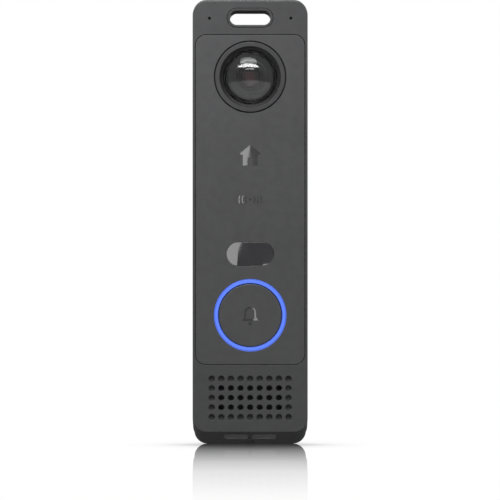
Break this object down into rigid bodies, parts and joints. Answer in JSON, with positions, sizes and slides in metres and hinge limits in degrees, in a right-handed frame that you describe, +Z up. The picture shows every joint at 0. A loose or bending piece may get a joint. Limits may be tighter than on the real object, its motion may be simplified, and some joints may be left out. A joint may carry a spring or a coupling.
{
  "type": "video doorbell",
  "caption": "Tall narrow wall-hung video doorbell with domed camera, lit round call button, sensor window, speaker grille, strap slot and a slide-off wall plate.",
  "frame": {"origin": "on the wall plane, in the middle of the wall plate's back face at mid-height of the front face", "axes": "X to the right seen from the front, +Y into the wall, +Z up; the front faces -Y"},
  "size_m": [0.053, 0.0323, 0.2071],
  "materials": {
    "housing_plastic": "fine textured satin",
    "panel_plastic": "fine textured satin",
    "black_gloss": "polished",
    "clear_dome": "polished",
    "lens_glass": "coated",
    "light_guide": "translucent, lit",
    "inner_plastic": "moulded",
    "light_plastic": "moulded",
    "silicone": "matt",
    "foam": "open cell",
    "circuit_board": "solder mask",
    "chip_resin": "moulded resin",
    "steel": "plated",
    "tin_plate": "satin",
    "aluminium": "rolled",
    "gold_contact": "plated",
    "copper": "enamelled",
    "led_resin": "clear resin",
    "infrared_resin": "tinted resin",
    "mesh_cloth": "woven",
    "cone_paper": "pressed fibre",
    "plate_plastic": "moulded"
  },
  "bodies": {
    "wall_plate": {"wall_plate": "plate_plastic"},
    "doorbell": {"front_housing": "housing_plastic", "front_panel": "panel_plastic", "slot_liner": "housing_plastic", "camera_bezel": "housing_plastic", "camera_dome": "clear_dome", "camera_mask": "black_gloss", "lens_barrel": "inner_plastic", "lens_front": "lens_glass", "lens_rear": "lens_glass", "lens_holder": "inner_plastic", "image_sensor": "chip_resin", "camera_board": "circuit_board", "camera_screws": "steel", "house_inlay": "black_gloss", "wave_inlay": "black_gloss", "tag_antenna": "copper", "sensor_window": "black_gloss", "sensor_holder": "inner_plastic", "infrared_leds": "infrared_resin", "light_ring": "light_guide", "ring_board": "circuit_board", "ring_leds": "led_resin", "button_pad": "silicone", "button_switch": "chip_resin", "speaker_mesh": "mesh_cloth", "speaker_gasket": "foam", "speaker_frame": "inner_plastic", "speaker_surround": "silicone", "speaker_magnet": "tin_plate", "microphones": "light_plastic", "mic_gaskets": "foam", "main_board": "circuit_board", "board_chips": "chip_resin", "shield_can": "tin_plate", "thermal_pad": "silicone", "heat_spreader": "aluminium", "power_parts": "chip_resin", "board_screws": "steel", "network_socket": "tin_plate", "socket_contacts": "gold_contact", "socket_seal": "silicone", "package_window": "black_gloss", "package_camera": "inner_plastic", "lamp_window": "black_gloss", "package_lamp": "circuit_board", "rear_housing": "housing_plastic", "housing_seal": "silicone", "housing_screws": "steel", "tamper_switch": "chip_resin"},
    "button": {"button_cap": "panel_plastic", "bell_inlay": "black_gloss"},
    "switch_stem": {"switch_stem": "light_plastic"},
    "cone": {"speaker_cone": "cone_paper", "voice_coil": "copper"},
    "ir_filter": {"filter_frame": "inner_plastic", "filter_glass": "lens_glass"},
    "lock_screw": {"lock_screw": "steel"},
    "tamper_plunger": {"tamper_plunger": "light_plastic"},
    "reset_button": {"reset_button": "light_plastic"}
  },
  "joints": [
    {"name": "unit_lift", "type": "slide", "parent": "wall_plate", "child": "doorbell", "axis": [0, 0, 1], "range_m": [0, 0.005]},
    {"name": "lock_screw_travel", "type": "slide", "parent": "doorbell", "child": "lock_screw", "axis": [0, 0, 1], "range_m": [0, 0.0022]},
    {"name": "button_press", "type": "slide", "parent": "doorbell", "child": "button", "axis": [0, 1, 0], "range_m": [0, 0.0008], "stiffness_N_per_m": 800, "springref_m": -0.002, "deforming": ["button_pad"]},
    {"name": "switch_stem_press", "type": "slide", "parent": "doorbell", "child": "switch_stem", "axis": [0, 1, 0], "range_m": [0, 0.00032]},
    {"name": "cone_travel", "type": "slide", "parent": "doorbell", "child": "cone", "axis": [0, -1, 0], "range_m": [-0.0005, 0.0005], "stiffness_N_per_m": 1200, "deforming": ["speaker_surround"]},
    {"name": "ir_filter_slide", "type": "slide", "parent": "doorbell", "child": "ir_filter", "axis": [-1, 0, 0], "range_m": [0, 0.0076]},
    {"name": "tamper_press", "type": "slide", "parent": "doorbell", "child": "tamper_plunger", "axis": [0, -1, 0], "range_m": [0, 0.0008], "stiffness_N_per_m": 400, "springref_m": -0.001},
    {"name": "reset_press", "type": "slide", "parent": "doorbell", "child": "reset_button", "axis": [0, -1, 0], "range_m": [0, 0.0004], "stiffness_N_per_m": 800, "springref_m": -0.001}
  ],
  "couplings": [
    {"joint": "switch_stem_press", "follows": "button_press", "ratio": 0.4}
  ]
}
